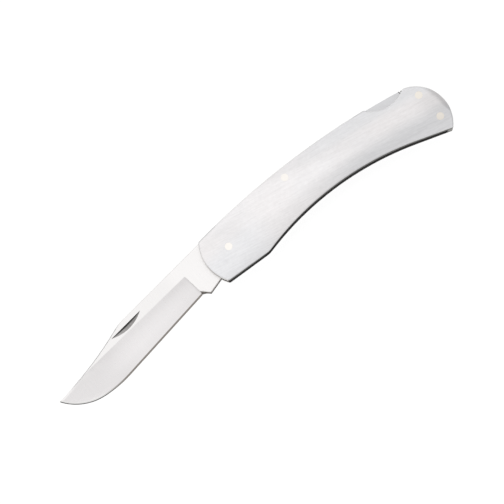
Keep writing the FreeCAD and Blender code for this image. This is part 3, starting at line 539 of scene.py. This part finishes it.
def makePinMetal(name, colour, centre):
    look = pinLook
    material, tree, shader = newMaterial(name, colour, look["rough"][0])
    lines = brushed(tree, look)
    turns = tree.product(tree.flatAway(centre), 2.0 * math.pi / look["ring"])
    rings = tree.product(tree.math("SINE", turns), look["ringShare"])
    tint = tree.dim(colour, tree.math("ADD", rings, 1.0))
    tree.join(streaked(tree, tint, lines, look), shader.inputs["Base Color"])
    tree.join(brushedRough(tree, lines, look), shader.inputs["Roughness"])
    addBump(tree, shader, lines, look)
    return material


# washers: rolled bronze
washerLook = {"bronze": (0.62, 0.4, 0.2), "dark": (0.4, 0.25, 0.13), "patchSize": 400.0, "rough": (0.3, 0.5)}


def makeWasherBronze():
    look = washerLook
    material, tree, shader = newMaterial("washerBronze", look["bronze"], look["rough"][0])
    patches = tree.group(softPatches, Size=look["patchSize"])
    tree.join(tree.mix(patches["Smudge"], look["bronze"], look["dark"]), shader.inputs["Base Color"])
    tree.join(tree.spread(patches["Cool"], 0.0, 1.0, *look["rough"]), shader.inputs["Roughness"])
    return material


def dress(node, material):
    nodes[node].material_slots[0].link = "OBJECT"
    nodes[node].material_slots[0].material = material
    flow = nodes[node].modifiers.new("flatFaces", "WEIGHTED_NORMAL")  # broad faces stay flat to their rims
    flow.mode = "FACE_AREA"
    flow.keep_sharp = True


handleSteel = makeHandleSteel()
springSteel = makeSpringSteel("springSteel", springLook)
washerBronze = makeWasherBronze()
dress("blade", makeBladeSteel())
for node in ("front_scale", "rear_scale"):
    dress(node, handleSteel)
for node in ("lock_bar", "leaf_spring"):
    dress(node, springSteel)
dress("butt_spacer", makeSpringSteel("spacerSteel", {**springLook, **spacerShade}))
for node in ("front_washer", "rear_washer"):
    dress(node, washerBronze)
# the spacer pins get the colours darkened as painted shade
for node, colour in (("pivot_pin", "front"), ("lock_bar_pin", "front"),
                     ("spacer_pin_upper", "upper"), ("spacer_pin_lower", "lower")):
    low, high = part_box(node)
    dress(node, makePinMetal(node + "Metal", pinLook[colour], (low + high) / 2))
print("materials given to", len(nodes), "nodes")


# floor: a pale table that reads white, and keeps a faint shadow
floorLook = {"radius": 3.0, "sides": 96, "colour": (0.25, 0.25, 0.25), "lift": 0.86}


def makeFloor():
    look = floorLook
    bpy.ops.mesh.primitive_circle_add(vertices=look["sides"], radius=look["radius"], fill_type="NGON")
    floor = bpy.context.object
    floor.name = "floor"
    material = bpy.data.materials.new("paleFloor")
    material.use_nodes = True
    material.node_tree.nodes.clear()
    tree = Tree(material.node_tree)
    matte = tree.add("ShaderNodeBsdfDiffuse")
    matte.inputs["Color"].default_value = (*look["colour"], 1.0)
    path = tree.add("ShaderNodeLightPath").outputs
    seen = tree.math("MAXIMUM", path["Is Camera Ray"], path["Is Glossy Ray"])
    seen = tree.math("MAXIMUM", seen, path["Is Transmission Ray"])
    glow = tree.add("ShaderNodeEmission")
    tree.join(tree.product(seen, look["lift"]), glow.inputs["Strength"])
    both = tree.add("ShaderNodeAddShader")
    tree.join(matte.outputs[0], both.inputs[0])
    tree.join(glow.outputs[0], both.inputs[1])
    tree.join(both.outputs[0], tree.add("ShaderNodeOutputMaterial").inputs["Surface"])
    floor.data.materials.append(material)


# camera: looks down on the opened knife, as the photograph does
photo = {
    "width": 504, "pivotX": 228.63, "pivotY": 246.39, "scale": 0.36054 * mm, "lens": 200.0, "sensor": 36.0,
    "azimuth": math.radians(-28.0), "elevation": math.radians(82.8), "roll": math.radians(17.22), "far": 50.0,
}


def makeCamera():
    turn, rise, roll = photo["azimuth"], photo["elevation"], photo["roll"]
    level = Vector((math.cos(turn), math.sin(turn), 0.0))
    ahead = Vector((-math.sin(turn), math.cos(turn), 0.0))
    back = Vector((0.0, 0.0, 1.0)) * math.sin(rise) - ahead * math.cos(rise)
    upright = back.cross(level)
    right = level * math.cos(roll) - upright * math.sin(roll)
    up = upright * math.cos(roll) + level * math.sin(roll)
    head = Vector((pivot.x, pivot.y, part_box("pivot_pin")[1].z))
    middle = photo["width"] / 2
    target = head + right * (middle - photo["pivotX"]) * photo["scale"]
    target -= up * (middle - photo["pivotY"]) * photo["scale"]
    distance = photo["width"] * photo["scale"] * photo["lens"] / photo["sensor"]
    data = bpy.data.cameras.new("photoCamera")
    data.lens = photo["lens"]
    data.sensor_width = photo["sensor"]
    data.clip_end = photo["far"]
    camera = bpy.data.objects.new("photoCamera", data)
    scene.collection.objects.link(camera)
    camera.location = target + back * distance
    camera.rotation_euler = Matrix((right, up, back)).transposed().to_euler()
    scene.camera = camera


# light: a pale dome that dims towards the edge side and the butt, and one soft lamp overhead
lightLook = {
    "dome": (1.0, 1.0, 1.0), "domeStrength": 0.92, "edge": (-0.03, -0.34), "edgeDim": 0.16,
    "butt": (0.2, 0.8), "buttDim": 0.3,
    "lampPower": 0.12, "lampSize": 0.5, "lampPlace": (-0.1, 0.12, 0.8),
}


def makeLight():
    look = lightLook
    world = bpy.data.worlds.new("paleDome")
    world.use_nodes = True
    world.node_tree.nodes.clear()
    tree = Tree(world.node_tree)
    sky = tree.parts(tree.add("ShaderNodeTexCoord").outputs["Generated"])
    edge = tree.spread(sky["Y"], *look["edge"], 1.0, 1.0 - look["edgeDim"])
    butt = tree.spread(sky["X"], *look["butt"], 1.0, 1.0 - look["buttDim"])
    background = tree.add("ShaderNodeBackground")
    background.inputs["Color"].default_value = (*look["dome"], 1.0)
    tree.join(tree.product(edge, butt, look["domeStrength"]), background.inputs["Strength"])
    tree.join(background.outputs[0], tree.add("ShaderNodeOutputWorld").inputs["Surface"])
    scene.world = world
    data = bpy.data.lights.new("softLamp", "AREA")
    data.shape = "DISK"
    data.size = look["lampSize"]
    data.energy = look["lampPower"]
    lamp = bpy.data.objects.new("softLamp", data)
    scene.collection.objects.link(lamp)
    lamp.location = look["lampPlace"]
    lamp.rotation_euler = (-lamp.location).to_track_quat("-Z", "Y").to_euler()


makeFloor()
makeCamera()
makeLight()
scene.view_settings.view_transform = "Standard"
print("floor, camera and light in place")
